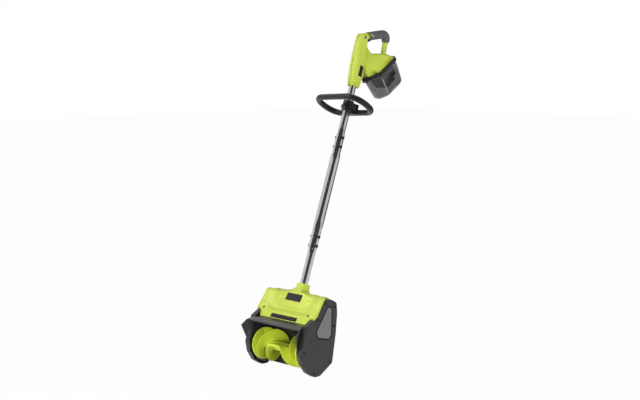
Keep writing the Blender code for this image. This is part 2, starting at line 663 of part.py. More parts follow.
lower_bolt = LOWER_JOINT + JOINT_BOLT_EDGE
upper_bolt = UPPER_JOINT - JOINT_BOLT_EDGE
joint_bolt("joint_bolt_1", lower_bolt, lower_sleeve, "lower")
joint_bolt("joint_bolt_2", lower_bolt + JOINT_BOLT_PITCH, lower_sleeve, "lower")
joint_bolt("joint_bolt_3", upper_bolt - JOINT_BOLT_PITCH, upper_sleeve, "upper")
joint_bolt("joint_bolt_4", upper_bolt, upper_sleeve, "upper")

# Power lead inside the tubes, from the neck to the handle and clear of the bolts
lead_y = JOINT_BOLT_RADIUS + LEAD_RADIUS + FIT
lead = [(lower_bottom, LEAD_RADIUS), (UPPER_TUBE_TOP, LEAD_RADIUS)]
solid("power_lead", turned("Z", lead, BOLT_STEPS, (0, lead_y)), BLACK, shaft)

# Loop handle: a bar bent into a ring round the shaft, moulded with the rear half of its clamp


def loop_bar():
    corners = [(-LOOP_HALF_WIDTH, -LOOP_HALF_DEPTH), (LOOP_HALF_WIDTH, -LOOP_HALF_DEPTH),
               (LOOP_HALF_WIDTH, LOOP_HALF_DEPTH), (-LOOP_HALF_WIDTH, LOOP_HALF_DEPTH)]
    path = [Vector(p) for p in rounded([(x, y, LOOP_CORNER) for x, y in corners], 7)]
    rings = []
    for i, here in enumerate(path):
        ahead = path[(i + 1) % len(path)] - path[i - 1]
        normal = Vector((ahead.y, -ahead.x)).normalized()
        ring = []
        for k in range(14):
            angle = 2 * math.pi * k / 14
            offset = normal * LOOP_BAR_RADIUS * math.cos(angle)
            ring.append((here.x + offset.x, here.y + offset.y, LOOP_BAR_RADIUS * math.sin(angle)))
        rings.append(ring)
    bm = loft(rings, loop=True)
    tilt = Matrix.Translation((0, -LOOP_N, 0)) @ Matrix.Rotation(-LOOP_TILT, 4, "X")
    bmesh.ops.transform(bm, matrix=tilt, verts=bm.verts)
    return bm


def clamp_half(name, side):
    """Half collar with two ears; side is -1 at the front and 1 at the rear."""
    outer = UPPER_TUBE_RADIUS + CLAMP_WALL
    half = solid(name, turned("Z", [(-CLAMP_HALF, outer), (CLAMP_HALF, outer)], 32), BLACK, loop)
    ear_depth = (-CLAMP_EAR_DEPTH, CLAMP_EAR_DEPTH)
    join(half, block((-clamp_ear, clamp_ear), ear_depth, (-CLAMP_EAR_HALF, CLAMP_EAR_HALF)))
    gone = (-FIT / 2, outer + FIT) if side < 0 else (-outer - FIT, FIT / 2)
    cut(half, block((-clamp_ear - FIT, clamp_ear + FIT), gone, (-2 * CLAMP_HALF, 2 * CLAMP_HALF)))
    if side > 0:
        rear_bar = LOOP_HALF_DEPTH * math.cos(LOOP_TILT) - LOOP_N
        drop = LOOP_HALF_DEPTH * math.sin(LOOP_TILT)
        join(half, block((-SADDLE_HALF, SADDLE_HALF), (UPPER_TUBE_RADIUS, rear_bar),
                         (-drop - LOOP_BAR_RADIUS * 0.8, CLAMP_HALF * 0.8)))
        join(half, loop_bar())
    bore = UPPER_TUBE_RADIUS + RUN_FIT
    cut(half, turned("Z", [(-2 * CLAMP_HALF, bore), (2 * CLAMP_HALF, bore)], 32))
    hole = CLAMP_BOLT_RADIUS + BOLT_FIT
    for x in (-clamp_bolt_x, clamp_bolt_x):
        cut(half, turned("Y", [(-2 * CLAMP_EAR_DEPTH, hole), (2 * CLAMP_EAR_DEPTH, hole)], 12, (x, 0)))


clamp_bolt_x = UPPER_TUBE_RADIUS + CLAMP_WALL + CLAMP_BOLT_HEAD + FIT
clamp_ear = clamp_bolt_x + CLAMP_BOLT_HEAD + FIT
clamp_half("loop_handle", 1)
clamp_half("loop_clamp_front", -1)
ear_face = CLAMP_EAR_DEPTH + FIT
head_end = ear_face + CLAMP_BOLT_HEAD * 0.8
for x, name in ((-clamp_bolt_x, "clamp_bolt_left"), (clamp_bolt_x, "clamp_bolt_right")):
    shape = [(-head_end, CLAMP_BOLT_HEAD * 0.8), (-head_end + 0.001, CLAMP_BOLT_HEAD),
             (-ear_face, CLAMP_BOLT_HEAD), (-ear_face, CLAMP_BOLT_RADIUS), (ear_face, CLAMP_BOLT_RADIUS),
             (ear_face, CLAMP_BOLT_HEAD), (head_end, CLAMP_BOLT_HEAD)]
    solid(name, turned("Y", shape, BOLT_STEPS, (x, 0)), STEEL, loop)

# Rear handle, modelled whole and then split into two shells


def spine_ring(s, front, rear, half, radius, slope=0.0):
    """Rounded rectangle across the shaft; a slope lets it rise to the rear."""
    return box_ring(half, -front, rear, radius, lambda x, v: (x, v, s + slope * v))


SPINE = [(0.703, 0.0165, 0.020, SPINE_HALF - 0.0005, 0.008), (0.745, 0.024, 0.026, SPINE_HALF, 0.008),
         (0.800, 0.029, 0.022, SPINE_HALF, 0.008), (0.850, 0.031, 0.012, SPINE_HALF - 0.001, 0.008),
         (0.8905, 0.0305, 0.0055, SPINE_HALF - 0.002, 0.007, TOP_SLOPE),
         (0.8985, 0.0265, 0.003, SPINE_HALF - 0.006, 0.005, TOP_SLOPE)]
handle = solid("handle_shell_right", loft([spine_ring(*ring) for ring in SPINE]), LIME, shaft)
WEB = [(-0.005, 0.858), (0.0105, 0.856), (0.023, 0.8462), (0.042, 0.8365), (0.050, 0.828), (0.030, 0.800),
       (0.0, 0.800)]
web_rings = []
for x, step in ((-WEB_HALF, WEB_CHAMFER), (WEB_CHAMFER - WEB_HALF, 0.0), (WEB_HALF - WEB_CHAMFER, 0.0),
                (WEB_HALF, WEB_CHAMFER)):
    web_rings.append([(x, y, s) for y, s, radius in inset([(y, s, 0) for y, s in WEB], step)])
join(handle, loft(web_rings))


def in_shaft(bm):
    """Takes a shape drawn in the bay frame into the shaft frame."""
    move = Matrix.Translation((0, BAY_Y, BAY_S)) @ Matrix.Rotation(-BAY_TILT, 4, "X")
    bmesh.ops.transform(bm, matrix=move, verts=bm.verts)
    return bm


def bay_ring(depth, low, high, half, radius, steps=3):
    """Rounded rectangle in the bay frame, square to the depth direction."""
    return box_ring(half, low, high, radius, lambda x, v: (x, depth, v), steps)


def nosed_ring(depth, low, high, half, nose, nose_half, radius, grow=0.0):
    """Outline of the bay in its frame: a rectangle with a blunt nose towards the shaft, grown all round."""
    corners = [(-nose_half, low - nose, radius), (nose_half, low - nose, radius), (half, low, radius),
               (half, high, radius), (-half, high, radius), (-half, low, radius)]
    grown = [(x, v, radius) for x, v, old in inset(corners, -grow)]
    return [(x, depth, v) for x, v in rounded(grown)]


HOOD_TOP = -RIM_HEIGHT - FIT
HOOD = [(-0.074, -0.014, 0.026, 0.0135, 0.003, 0.008, 0.005),
        (-0.058, -0.006, 0.052, 0.024, 0.012, 0.009, 0.009),
        (-0.036, -0.001, 0.082, 0.036, 0.024, 0.010, 0.012),
        (HOOD_TOP, 0.0, BAY_LENGTH, BAY_HALF, NOSE_LENGTH, NOSE_HALF, 0.012, -0.001)]
join(handle, in_shaft(loft([nosed_ring(*ring) for ring in HOOD])))


def sweep(path, radii, squash=1.0, steps=16):
    """Round bar along a planar path of (y, z) points; squash widens it along X."""
    rings = []
    for i, here in enumerate(path):
        ahead = path[min(i + 1, len(path) - 1)] - path[max(i - 1, 0)]
        normal = Vector((-ahead.y, ahead.x)).normalized()
        ring = []
        for k in range(steps):
            angle = 2 * math.pi * k / steps
            offset = normal * radii[i] * math.sin(angle)
            ring.append((radii[i] * squash * math.cos(angle), here.x + offset.x, here.y + offset.y))
        rings.append(ring)
    return loft(rings)


def bend(start, corner, end, steps):
    """Smooth bend from start to end, drawn towards a corner."""
    return [start.lerp(corner, t).lerp(corner.lerp(end, t), t) for t in [i / steps for i in range(1, steps)]]


grip_corner = Vector((0.1015, 0.9325))
turn_points = bend(GRIP_END, grip_corner, POST_TOP, 6)
path = [Vector((-0.004, 0.8825)), GRIP_START, GRIP_END] + turn_points + [POST_TOP, POST_BOTTOM]
core = [GRIP_CORE_RADIUS] * (3 + len(turn_points)) + [POST_RADIUS + 0.001, POST_RADIUS]
join(handle, sweep(path, core))

# Grip overmould: a sleeve on the grip and round its rear corner
SLEEVE_START = 0.02
sleeve_path = [GRIP_START.lerp(GRIP_END, SLEEVE_START), GRIP_END] + turn_points + [POST_TOP]
sleeve = [GRIP_RADIUS] * (len(sleeve_path) - 1) + [GRIP_RADIUS - 0.003]
overmould = solid("grip_overmould", sweep(sleeve_path, sleeve), RUBBER, shaft)
inner_path = [GRIP_START] + sleeve_path[1:-1] + [POST_TOP, POST_BOTTOM]
inner_core = [GRIP_CORE_RADIUS + FIT] * (len(inner_path) - 2) + [POST_RADIUS + 0.001 + FIT, POST_RADIUS + FIT]
cut(overmould, sweep(inner_path, inner_core))

# Pockets in the handle: tube socket, switch and battery stem
tube_socket = [(UPPER_JOINT, upper_sleeve), (UPPER_TUBE_TOP + FIT, upper_sleeve)]
cut(handle, turned("Z", tube_socket, ROUND_STEPS))
SWITCH_S = (0.835, 0.866)
SWITCH_Y = (-0.020, -0.002)
SWITCH_HALF = 0.009
cut(handle, block((-SWITCH_HALF - FIT, SWITCH_HALF + FIT), (SWITCH_Y[0] - FIT, SWITCH_Y[1] + FIT),
                  (SWITCH_S[0] - FIT, SWITCH_S[1] + FIT)))
solid("switch_block", block((-SWITCH_HALF, SWITCH_HALF), SWITCH_Y, SWITCH_S), BLACK, shaft)

STEM_START = PACK_START + (PACK_LENGTH - STEM_LENGTH) / 2
STEM_CORNER = 0.003
STEM_PLAY = 0.0005
TERMINAL = 0.006
stem_top = -STEM_HEIGHT
pocket_top = stem_top - TERMINAL - 2 * FIT


def stem_prism(depth_low, depth_high, grow=0.0):
    """Rounded block with the outline of the pack's stem, grown all round."""
    low = STEM_START - grow
    high = STEM_START + STEM_LENGTH + grow
    return loft([bay_ring(depth, low, high, STEM_HALF + grow, STEM_CORNER + grow)
                 for depth in (depth_low, depth_high)])


cut(handle, in_shaft(stem_prism(pocket_top, RIM_HEIGHT, STEM_PLAY)))
terminal_top = pocket_top + FIT
solid("terminal_block", stem_prism(terminal_top, terminal_top + TERMINAL), BLACK, bay)

# Trigger under the front of the grip, on a cross pin
TRIGGER_PIVOT = Vector((0.0125, 0.8865))
TRIGGER_PIN_RADIUS = 0.0015
TRIGGER_PIN_SEAT = 0.003
TRIGGER = [(0.0085, 0.8895, 0.002), (0.0085, 0.8790, 0.003), (0.0120, 0.8690, 0.003), (0.0190, 0.8730, 0.004),
           (0.0330, 0.8850, 0.004), (0.0420, 0.8905, 0.002), (0.0400, 0.8960, 0.002), (0.0200, 0.8925, 0.003)]
TRIGGER_TRAVEL = math.radians(10)


def turned_about(corners, pivot, angle):
    """Corners turned about a pivot in (y, z)."""
    spin = Matrix.Rotation(angle, 2)
    moved = []
    for y, z, radius in corners:
        point = pivot + spin @ (Vector((y, z)) - pivot)
        moved.append((point.x, point.y, radius))
    return moved


slot_half = TRIGGER_WIDTH / 2 + TRIGGER_SLOT_GAP
for step in range(3):
    pressed = turned_about(TRIGGER, TRIGGER_PIVOT, TRIGGER_TRAVEL * step / 2)
    cut(handle, prism(rounded(inset(pressed, -TRIGGER_SLOT_GAP)), -slot_half, slot_half))
    cut(overmould, prism(rounded(inset(pressed, -TRIGGER_SLOT_GAP)), -slot_half, slot_half))
trigger_axis = frame("trigger_axis", shaft, (0, TRIGGER_PIVOT.x, TRIGGER_PIVOT.y))
local = [(y - TRIGGER_PIVOT.x, z - TRIGGER_PIVOT.y, radius) for y, z, radius in TRIGGER]
trigger = solid("trigger", prism(rounded(local), -TRIGGER_WIDTH / 2, TRIGGER_WIDTH / 2), BLACK, trigger_axis)
trigger_bore = [(-slot_half, TRIGGER_PIN_RADIUS + RUN_FIT), (slot_half, TRIGGER_PIN_RADIUS + RUN_FIT)]
cut(trigger, turned("X", trigger_bore, BOLT_STEPS))
pin_half = slot_half + TRIGGER_PIN_SEAT
pin_way = [(-pin_half - FIT, TRIGGER_PIN_RADIUS + FIT), (pin_half + FIT, TRIGGER_PIN_RADIUS + FIT)]
cut(handle, turned("X", pin_way, BOLT_STEPS, TRIGGER_PIVOT))
trigger_pin = [(-pin_half, TRIGGER_PIN_RADIUS), (pin_half, TRIGGER_PIN_RADIUS)]
solid("trigger_pin", turned("X", trigger_pin, BOLT_STEPS, TRIGGER_PIVOT), STEEL, shaft)

# Lock-off button: a stepped pin across the spine, pressed from the right
BUTTON = Vector((-0.010, 0.8785))
button_axis = frame("button_axis", shaft, (0, BUTTON.x, BUTTON.y))
button_face = SPINE_HALF - 0.002 + BUTTON_PROUD
button_way = [(-0.030, BUTTON_RADIUS + RUN_FIT), (0.030, BUTTON_RADIUS + RUN_FIT)]
cut(handle, turned("X", button_way, 16, BUTTON))
button = [(-button_face + 0.001, BUTTON_RADIUS), (button_face - 0.001, BUTTON_RADIUS),
          (button_face, BUTTON_RADIUS - 0.001)]
solid("lock_off_button", turned("X", button, 16), PALE, button_axis)

# The two shells meet on the middle plane
left = handle.copy()
left.data = handle.data.copy()
left.name = "handle_shell_left"
bpy.context.scene.collection.objects.link(left)
shell_reach = 2 * BAY_HALF
shell_span = ((-POST_TOP.y, POST_TOP.y), (0.0, 2 * POST_TOP.y))
combine(handle, block((FIT / 2, shell_reach), *shell_span), "INTERSECT")
combine(left, block((-shell_reach, -FIT / 2), *shell_span), "INTERSECT")

# Battery bay: rim, pack with its stem, and the smoky cover on its hinge


def rim_ring(depth, grow, radius):
    """Ring round the bay's mouth, grown outwards from it."""
    return nosed_ring(depth, 0.0, BAY_LENGTH, BAY_HALF, NOSE_LENGTH, NOSE_HALF, radius, grow)


rim = solid("battery_bay_rim", loft([
    rim_ring(-RIM_HEIGHT, RIM_LIP, RIM_CORNER), rim_ring(-RIM_CHAMFER, RIM_LIP, RIM_CORNER),
    rim_ring(0.0, RIM_LIP - RIM_CHAMFER, RIM_CORNER - RIM_CHAMFER)]), DARK, bay)
mouth_corner = RIM_CORNER - RIM_LIP - FIT
cut(rim, loft([rim_ring(depth, -RIM_INSET, mouth_corner) for depth in (-2 * RIM_HEIGHT, RIM_HEIGHT)]))

pack_end = PACK_START + PACK_LENGTH
pack_rest = -RIM_HEIGHT
pack = solid("battery_pack", loft([
    bay_ring(pack_rest, PACK_START, pack_end, PACK_HALF, 0.008),
    bay_ring(PACK_DEPTH - 0.004, PACK_START, pack_end, PACK_HALF, 0.008),
    bay_ring(PACK_DEPTH, PACK_START + 0.004, pack_end - 0.004, PACK_HALF - 0.004, 0.006)]), BLACK, bay)
join(pack, stem_prism(stem_top, pack_rest / 2))

HINGE_A = -NOSE_LENGTH - RIM_LIP - HINGE_RADIUS - FIT
HINGE_B = 0.001
KNUCKLE_HALF = 0.005
KNUCKLE_END = 0.0115
cover_axis = frame("cover_axis", bay, (0, HINGE_B, HINGE_A))


def cover_ring(depth, draw_in, radius):
    """Ring of the cover in its hinge's frame, at a depth below the rim."""
    return [(x, y - HINGE_B, z - HINGE_A) for x, y, z in rim_ring(depth + FIT, COVER_LIP - draw_in, radius)]


def cover_shape(skin):
    """Rings of the cover's outside, or with a skin of its inside, which runs out above the rim."""
    corner = COVER_CORNER - skin
    start = -RIM_HEIGHT if skin else 0.0
    bottom = COVER_DEPTH - skin
    return [cover_ring(start, skin, corner), cover_ring(COVER_DEPTH / 2, COVER_TAPER / 2 + skin, corner),
            cover_ring(bottom - COVER_ROUND, COVER_TAPER + skin, corner),
            cover_ring(bottom, COVER_TAPER + COVER_ROUND * 0.8 + skin, corner * 0.7)]


tub = solid("battery_cover", loft(cover_shape(0.0)), SMOKE, cover_axis)

# Hinge lug on the cover: a knuckle round the pin with a web into the near wall
pin_bore = [(-0.05, HINGE_PIN_RADIUS + RUN_FIT), (0.05, HINGE_PIN_RADIUS + RUN_FIT)]
web_top = FIT - HINGE_B
web_end = COVER_SKIN / 2 - NOSE_LENGTH - HINGE_A
lug_start = math.degrees(math.acos(web_top / HINGE_RADIUS))
lug = [(HINGE_RADIUS, web_end), (web_top, web_end)] + arc((0, 0), HINGE_RADIUS, lug_start, 360, 14)
join(tub, prism(lug, -KNUCKLE_HALF, KNUCKLE_HALF))

# Latch ears on the cover's far wall, with the latch rocking between them
LATCH_HALF = 0.009
LATCH_THICK = 0.003
LATCH_REACH = 0.016
LATCH_PLAY = 0.001
LATCH_A = BAY_LENGTH + RIM_LIP + LATCH_PLAY + LATCH_THICK / 2
LATCH_B = 0.007
LATCH_TRUNNION = 0.0016
EAR_THICK = 0.003
EAR_HALF = 0.005
ear_low = LATCH_HALF + FIT
latch_y = LATCH_B - HINGE_B
latch_z = LATCH_A - HINGE_A
ear_high = ear_low + EAR_THICK
ear_span = (latch_y - EAR_HALF, latch_y + EAR_HALF)
for side in (-1, 1):
    join(tub, block((side * ear_low, side * ear_high), ear_span, (BAY_LENGTH - HINGE_A - COVER_SKIN / 2,
                                                                  latch_z + EAR_HALF * 0.6)))
cut(tub, loft(cover_shape(COVER_SKIN)))
cut(tub, turned("X", pin_bore, BOLT_STEPS))
trunnion_bore = [(-2 * ear_high, LATCH_TRUNNION + RUN_FIT), (2 * ear_high, LATCH_TRUNNION + RUN_FIT)]
cut(tub, turned("X", trunnion_bore, BOLT_STEPS, (latch_y, latch_z)))
latch_axis = frame("latch_axis", cover_axis, (0, latch_y, latch_z))
latch_face = LATCH_THICK / 2
LATCH = [(-LATCH_REACH, -latch_face, 0), (LATCH_REACH - 0.003, -latch_face, 0),
         (LATCH_REACH, latch_face + 0.002, 0.001), (LATCH_REACH * 0.6, latch_face, 0),
         (-LATCH_REACH, latch_face, 0.001)]
latch = solid("cover_latch", prism(rounded(LATCH), -LATCH_HALF, LATCH_HALF), DARK, latch_axis)
join(latch, turned("X", [(-ear_high, LATCH_TRUNNION), (ear_high, LATCH_TRUNNION)], BOLT_STEPS))

# Rim knuckles either side of the cover's knuckle, and the hinge pin
rim_web = -RIM_HEIGHT * 0.8
rim_edge = -0.0005
knuckle_end = 360 + math.degrees(math.acos((rim_edge - HINGE_B) / HINGE_RADIUS))
lug_root = -NOSE_LENGTH - RIM_LIP / 2
rim_lug = [(rim_edge, lug_root), (rim_web, lug_root), (rim_web, HINGE_A)]
rim_lug += arc((HINGE_B, HINGE_A), HINGE_RADIUS, 200, knuckle_end, 14)
for side in (-1, 1):
    join(rim, prism(rim_lug, side * (KNUCKLE_HALF + FIT), side * KNUCKLE_END))
cut(rim, turned("X", pin_bore, 12, (HINGE_B, HINGE_A)))
solid("cover_hinge_pin", turned("X", [(-KNUCKLE_END, HINGE_PIN_RADIUS), (KNUCKLE_END, HINGE_PIN_RADIUS)], 12,
                                (HINGE_B, HINGE_A)), STEEL, bay)
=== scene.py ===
"""Looks of the cordless snow shovel: finishes, trim and fasteners, in a plain studio."""
import json
import math

import bmesh
import bpy
from mathutils import Matrix, Vector
from mathutils.bvhtree import BVHTree


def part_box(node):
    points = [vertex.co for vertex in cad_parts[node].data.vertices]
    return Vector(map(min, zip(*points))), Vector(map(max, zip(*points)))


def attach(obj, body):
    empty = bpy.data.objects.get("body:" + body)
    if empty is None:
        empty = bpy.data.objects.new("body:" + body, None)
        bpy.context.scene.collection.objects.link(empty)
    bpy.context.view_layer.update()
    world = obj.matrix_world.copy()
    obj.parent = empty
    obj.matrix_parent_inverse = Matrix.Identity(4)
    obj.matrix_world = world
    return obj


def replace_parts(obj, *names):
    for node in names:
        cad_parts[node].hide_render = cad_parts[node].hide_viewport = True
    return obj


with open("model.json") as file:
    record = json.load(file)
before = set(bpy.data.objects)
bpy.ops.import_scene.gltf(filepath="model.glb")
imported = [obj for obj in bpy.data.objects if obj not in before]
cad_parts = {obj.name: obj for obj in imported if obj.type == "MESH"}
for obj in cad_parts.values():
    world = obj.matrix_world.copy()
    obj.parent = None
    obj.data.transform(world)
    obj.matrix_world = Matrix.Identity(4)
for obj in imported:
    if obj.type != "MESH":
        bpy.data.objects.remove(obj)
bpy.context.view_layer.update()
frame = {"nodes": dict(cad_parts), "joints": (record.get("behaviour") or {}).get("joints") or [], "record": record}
RECORD = frame["record"]
JOINTS = {joint["name"]: joint for joint in frame["joints"]}
BODY_OF = {node: body for body, nodes in RECORD["behaviour"]["bodies"].items() for node in nodes}

# Places taken from the frame, in metres: the head's axes, the leaning shaft's and the bay's
MM = 0.001
ACROSS = Vector((1, 0, 0))
BACK = Vector((0, 1, 0))
UP = Vector((0, 0, 1))
SIDES = ((1, "right"), (-1, "left"))
PLATE_LOW, PLATE_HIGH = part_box("side_plate_right")
AUGER_AXIS = Vector(JOINTS["auger_spin"]["pos_m"])
AUGER_FROM_TOE = -0.005
HEAD = Vector((0, AUGER_AXIS.y - AUGER_FROM_TOE, PLATE_LOW.z))
HALF_HEAD = PLATE_HIGH.x
SHAFT_Z = Vector(JOINTS["loop_handle_slide"]["axis"]).normalized()
SHAFT_Y = SHAFT_Z.cross(ACROSS)
SHAFT_LEAN = math.atan2(SHAFT_Z.y, SHAFT_Z.z)
TUBE_LOW, TUBE_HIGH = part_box("upper_tube")
TUBE_MIDDLE_S = 0.6075
SHAFT = (TUBE_LOW + TUBE_HIGH) / 2 - SHAFT_Z * TUBE_MIDDLE_S
BAY_TILT = math.radians(37)
BAY_TURN = Matrix.Rotation(-BAY_TILT, 3, "X")
BAY_DEPTH = BAY_TURN @ SHAFT_Y
BAY_ALONG = BAY_TURN @ SHAFT_Z
HINGE = Vector(JOINTS["battery_cover_open"]["pos_m"])
HINGE_DEPTH = 0.001
HINGE_ALONG = -0.0388
BAY = HINGE - BAY_DEPTH * HINGE_DEPTH - BAY_ALONG * HINGE_ALONG


def head_point(x, y, z):
    return HEAD + Vector((x, y, z))


def shaft_point(x, y, s):
    return SHAFT + ACROSS * x + SHAFT_Y * y + SHAFT_Z * s


def bay_point(x, depth, along):
    return BAY + ACROSS * x + BAY_DEPTH * depth + BAY_ALONG * along


# Materials
MIX_A, MIX_B, MIX_RESULT = 6, 7, 2  # a Mix node's sockets for colours


def scaled(colour, factor):
    return tuple(min(1.0, channel * factor) for channel in colour)


class Nodes:
    """A material with its node tree, and short ways to add nodes to it."""

    def __init__(self, name):
        self.material = bpy.data.materials.new(name)
        self.material.use_nodes = True
        self.tree = self.material.node_tree
        self.shader = self.tree.nodes["Principled BSDF"]
        self.coords = self.add("ShaderNodeTexCoord").outputs["Object"]

    def add(self, kind, **settings):
        node = self.tree.nodes.new(kind)
        for key, value in settings.items():
            setattr(node, key, value)
        return node

    def link(self, output, socket):
        self.tree.links.new(output, socket)

    def noise(self, scale, detail, coords=None):
        node = self.add("ShaderNodeTexNoise")
        node.inputs["Scale"].default_value = scale
        node.inputs["Detail"].default_value = detail
        self.link(coords or self.coords, node.inputs["Vector"])
        return node.outputs["Fac"]

    def spread(self, value, low, high, start=0.3, end=0.7):
        """From low to high, as the value goes from start to end."""
        node = self.add("ShaderNodeMapRange")
        node.inputs["From Min"].default_value = start
        node.inputs["From Max"].default_value = end
        node.inputs["To Min"].default_value = low
        node.inputs["To Max"].default_value = high
        self.link(value, node.inputs["Value"])
        return node.outputs["Result"]

    def times(self, a, b):
        node = self.add("ShaderNodeMath", operation="MULTIPLY")
        self.link(a, node.inputs[0])
        self.link(b, node.inputs[1])
        return node.outputs[0]

    def blend(self, factor, a, b):
        node = self.add("ShaderNodeMix", data_type="RGBA")
        self.link(factor, node.inputs["Factor"])
        for socket, value in ((node.inputs[MIX_A], a), (node.inputs[MIX_B], b)):
            if isinstance(value, tuple):
                socket.default_value = (*value, 1.0)
            else:
                self.link(value, socket)
        return node.outputs[MIX_RESULT]

    def shades(self, noise, colour, low, high):
        """The colour between a low and a high share of itself."""
        return self.blend(self.spread(noise, 0.0, 1.0), scaled(colour, low), scaled(colour, high))

    def colour(self, output):
        self.link(output, self.shader.inputs["Base Color"])

    def uneven_gloss(self, noise, smooth, rough):
        self.link(self.spread(noise, smooth, rough), self.shader.inputs["Roughness"])

    def rounded_normal(self, radius):
        """Normal of the surface with its edges rounded off."""
        bevel = self.add("ShaderNodeBevel", samples=6)
        bevel.inputs["Radius"].default_value = radius
        return bevel.outputs["Normal"]

    def edges(self, rounded_normal):
        """How strongly the surface turns near a point: 0 on a flat, 1 on a sharp edge."""
        facing = self.add("ShaderNodeVectorMath", operation="DOT_PRODUCT")
        self.link(rounded_normal, facing.inputs[0])
        self.link(self.add("ShaderNodeNewGeometry").outputs["Normal"], facing.inputs[1])
        return self.spread(facing.outputs["Value"], low=1.0, high=0.0, start=0.80, end=0.99)

    def bump(self, height, depth, strength, normal=None):
        node = self.add("ShaderNodeBump")
        node.inputs["Strength"].default_value = strength
        node.inputs["Distance"].default_value = depth
        self.link(height, node.inputs["Height"])
        if normal:
            self.link(normal, node.inputs["Normal"])
        self.link(node.outputs["Normal"], self.shader.inputs["Normal"])

    def set(self, **values):
        for key, value in values.items():
            self.shader.inputs[key.replace("_", " ")].default_value = value


def moulded(name, colour, roughness, grain=900.0, depth=0.00008, mottle=0.06, scuff=1.25,
            gloss=0.5):
    """Moulded plastic: slight mottling, scuffed edges, uneven gloss and a fine grain."""
    n = Nodes(name)
    tint = n.shades(n.noise(scale=11.0, detail=4.0), colour, low=1 - mottle, high=1 + mottle)
    rounded_normal = n.rounded_normal(radius=0.0012)
    scuffs = n.spread(n.noise(scale=55.0, detail=5.0), low=0.0, high=0.7, start=0.42, end=0.68)
    worn = n.times(n.edges(rounded_normal), scuffs)
    n.colour(n.blend(worn, tint, scaled(colour, scuff)))
    n.uneven_gloss(n.noise(scale=38.0, detail=5.0),
                   smooth=roughness - 0.06, rough=roughness + 0.07)
    n.bump(n.noise(grain, detail=2.0), depth, strength=0.35, normal=rounded_normal)
    n.set(IOR=1.5, Specular_IOR_Level=gloss)
    return n.material


def drawn_metal(name, colour, roughness, lean):
    """Drawn metal tube: fine lines along its length, with small smudges."""
    n = Nodes(name)
    place = n.add("ShaderNodeMapping")
    place.inputs["Rotation"].default_value = (lean, 0, 0)
    place.inputs["Scale"].default_value = (900.0, 900.0, 9.0)
    n.link(n.coords, place.inputs["Vector"])
    lines = n.noise(scale=1.0, detail=3.0, coords=place.outputs["Vector"])
    tint = n.shades(lines, colour, low=0.92, high=1.06)
    smudges = n.spread(n.noise(scale=16.0, detail=4.0), low=0.0, high=0.35, start=0.50, end=0.75)
    n.colour(n.blend(smudges, tint, scaled(colour, factor=0.85)))
    n.uneven_gloss(n.noise(scale=24.0, detail=4.0),
                   smooth=roughness - 0.03, rough=roughness + 0.06)
    n.bump(lines, depth=0.000004, strength=0.05)
    n.set(Metallic=1.0)
    return n.material


def plated(name, colour, roughness):
    """Plated steel with a blotchy gloss."""
    n = Nodes(name)
    n.colour(n.shades(n.noise(scale=120.0, detail=4.0), colour, low=0.85, high=1.1))
    n.uneven_gloss(n.noise(scale=90.0, detail=3.0),
                   smooth=roughness - 0.06, rough=roughness + 0.10)
    n.bump(n.noise(scale=1500.0, detail=2.0), depth=0.00003, strength=0.3,
           normal=n.rounded_normal(radius=0.0004))
    n.set(Metallic=1.0)
    return n.material


def smoky(name, colour):
    """Clear smoky plastic: glossy and see-through, with faint rub marks."""
    n = Nodes(name)
    haze = n.spread(n.noise(scale=45.0, detail=5.0), low=0.0, high=1.0, start=0.45, end=0.75)
    n.colour(n.blend(haze, colour, scaled(colour, factor=0.90)))
    n.uneven_gloss(n.noise(scale=30.0, detail=4.0), smooth=0.03, rough=0.10)
    n.bump(n.noise(scale=300.0, detail=2.0), depth=0.00001, strength=0.1,
           normal=n.rounded_normal(radius=0.0030))
    n.set(IOR=1.49, Transmission_Weight=1.0)
    return n.material


LIME = moulded("lime_moulding", (0.50, 0.585, 0.058), roughness=0.40, mottle=0.04, scuff=1.30)
# The auger's lime is the cover's lime made lighter: painted light that makes up for the shade of the intake it
# sits in.
AUGER_LIME_BRIGHTENED = moulded("auger_lime_brightened_for_shade", (0.58, 0.68, 0.045), roughness=0.36, mottle=0.04)
DARK = moulded("dark_grey_moulding", (0.026, 0.026, 0.027), roughness=0.46, depth=0.00012,
               scuff=1.9, gloss=0.4)
SHROUD = moulded("shroud_moulding", (0.024, 0.024, 0.025), roughness=0.36, depth=0.00012,
                 scuff=1.9, gloss=0.55)
PALE = moulded("insert_grey_moulding", (0.150, 0.152, 0.155), roughness=0.50, grain=1400.0,
               scuff=1.4)
BLACK = moulded("black_moulding", (0.010, 0.010, 0.011), roughness=0.28, scuff=2.4, gloss=0.27)
CHARCOAL = moulded("bare_plate", (0.011, 0.011, 0.012), roughness=0.45, grain=2000.0,
                   depth=0.00004, scuff=2.0, gloss=0.2)
# Painted shade: a black ring that stands for the shaded groove round each side insert.
GROOVE_SHADE_RING = moulded("painted_groove_shade", (0.008, 0.008, 0.008), roughness=0.65, grain=1100.0,
                 depth=0.00010, scuff=2.0, gloss=0.15)
RUBBER = moulded("grip_rubber", (0.092, 0.092, 0.095), roughness=0.55, grain=700.0,
                 depth=0.00018, scuff=1.4)
TRACK = moulded("belt_rubber", (0.022, 0.022, 0.022), roughness=0.75, grain=500.0, depth=0.00020)
SMOKE = smoky("smoky_cover", (0.32, 0.323, 0.327))
# Painted highlight: pale beads that stand for the shine along the battery cover's rounded corners.
EDGE_HIGHLIGHT = moulded("painted_edge_highlight", (0.46, 0.46, 0.47), roughness=0.20, depth=0.00002, scuff=1.2,
                gloss=0.7)
TUBE = drawn_metal("drawn_aluminium", (0.52, 0.52, 0.53), roughness=0.16, lean=-SHAFT_LEAN)
STEEL = plated("plated_steel", (0.42, 0.42, 0.43), roughness=0.34)
BLACK_STEEL = plated("blackened_steel", (0.045, 0.045, 0.047), roughness=0.42)
SCREW_BLACK = moulded("screw_black", (0.004, 0.004, 0.004), roughness=0.50, grain=1500.0,
                      depth=0.00003, scuff=1.5, gloss=0.1)

